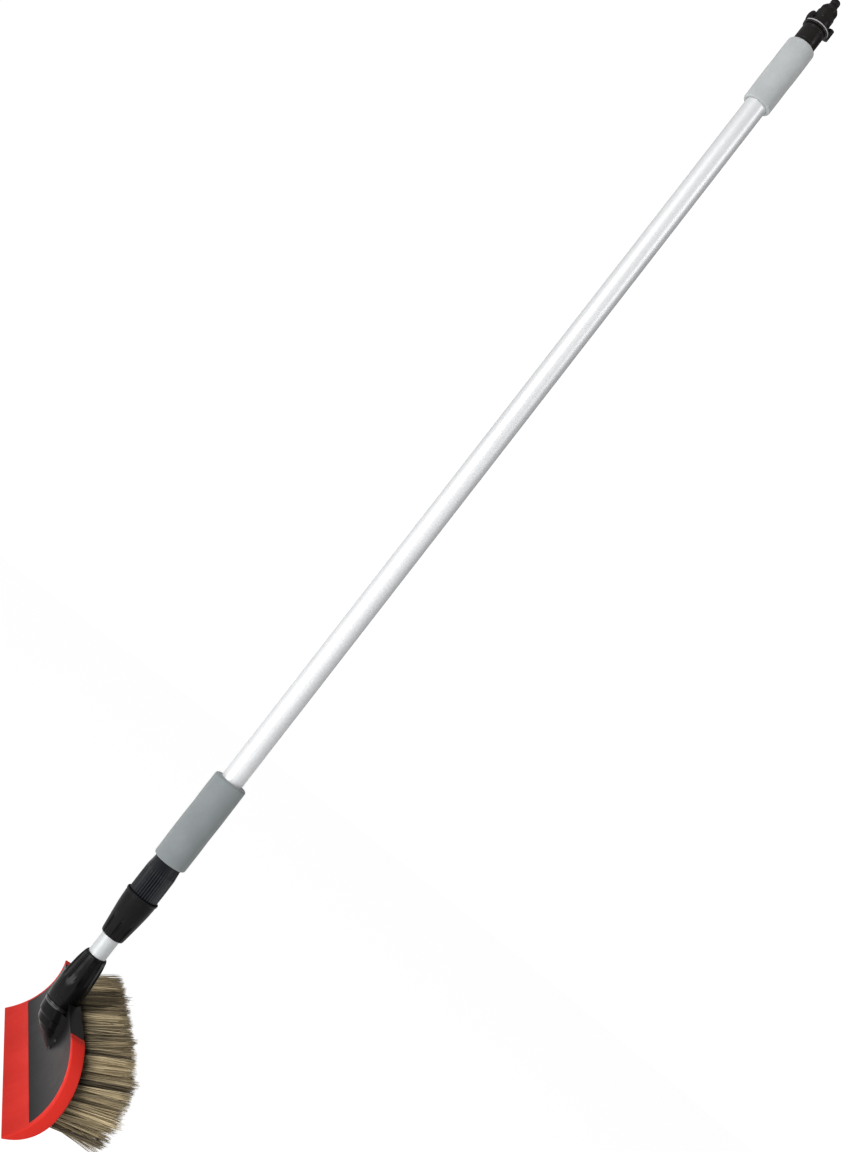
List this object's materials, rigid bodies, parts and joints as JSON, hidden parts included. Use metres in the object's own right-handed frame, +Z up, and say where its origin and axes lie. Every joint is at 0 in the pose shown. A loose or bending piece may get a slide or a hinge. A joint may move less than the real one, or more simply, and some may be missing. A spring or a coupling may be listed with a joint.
{
  "type": "telescopic window cleaning brush",
  "caption": "Telescopic water-fed wash brush with an arched rubber-edged head, foam grips, twist length lock and a valve with hose nipple at the top.",
  "frame": {"origin": "on the pole axis, half way along the bare outer tube, where a hand or a wall clip holds it", "axes": "+Z up the pole towards the hose nipple, brush head at -Z; bristles point to -Y; +X along the width of the head"},
  "size_m": [0.283, 0.11, 1.424],
  "materials": {
    "tube": "satin anodised",
    "foam_dark": "matt closed-cell foam",
    "foam_light": "matt closed-cell foam",
    "black_plastic": "satin moulded",
    "white_plastic": "satin moulded",
    "seal_rubber": "matt",
    "trim_grey": "gloss",
    "red_rubber": "matt",
    "bristles": "matt flagged filaments"
  },
  "bodies": {
    "outer_pole": {"outer_tube": "tube", "upper_grip": "foam_light", "lower_grip": "foam_dark", "ribbed_sleeve": "black_plastic", "clamp_collet": "white_plastic", "end_cap": "black_plastic", "end_cap_seal": "seal_rubber", "valve_pivot": "tube", "valve_seat_lower": "white_plastic", "valve_seat_upper": "white_plastic", "valve_nut": "black_plastic", "hose_nipple": "black_plastic", "nipple_seal": "seal_rubber"},
    "collar": {"twist_collar": "black_plastic", "wiper_ring": "seal_rubber"},
    "valve_turn_ring": {"valve_ring": "black_plastic", "valve_ring_trim": "trim_grey"},
    "inner_pole": {"inner_tube": "tube", "tube_piston": "white_plastic", "piston_seal_upper": "seal_rubber", "piston_seal_lower": "seal_rubber", "head_collet": "white_plastic"},
    "nut": {"head_nut": "black_plastic"},
    "brush_head": {"head_socket": "black_plastic", "socket_ring": "black_plastic", "socket_seal": "seal_rubber", "head_shell": "black_plastic", "rubber_bumper": "red_rubber", "block_gasket": "seal_rubber", "bristle_block": "black_plastic", "bristle_row_1": "bristles", "bristle_row_2": "bristles", "bristle_row_3": "bristles", "bristle_row_4": "bristles", "bristle_row_5": "bristles", "water_jet_left": "white_plastic", "water_jet_right": "white_plastic"}
  },
  "joints": [
    {"name": "pole_extend", "type": "slide", "parent": "outer_pole", "child": "inner_pole", "axis": [0, 0, -1], "range_m": [0, 0.97]},
    {"name": "collar_turn", "type": "hinge", "parent": "outer_pole", "child": "collar", "pos_m": [0, 0, -0.6273], "axis": [0, 0, 1], "range_deg": [0, 120]},
    {"name": "valve_turn", "type": "hinge", "parent": "outer_pole", "child": "valve_turn_ring", "pos_m": [0, 0, 0.5645], "axis": [0, 0, 1], "range_deg": [0, 90]},
    {"name": "head_swivel", "type": "hinge", "parent": "inner_pole", "child": "brush_head", "pos_m": [0, 0, -0.7353], "axis": [0, 0, 1], "range_deg": [-180, 180]},
    {"name": "nut_turn", "type": "hinge", "parent": "inner_pole", "child": "nut", "pos_m": [0, 0, -0.7053], "axis": [0, 0, 1], "range_deg": [0, 180]}
  ]
}
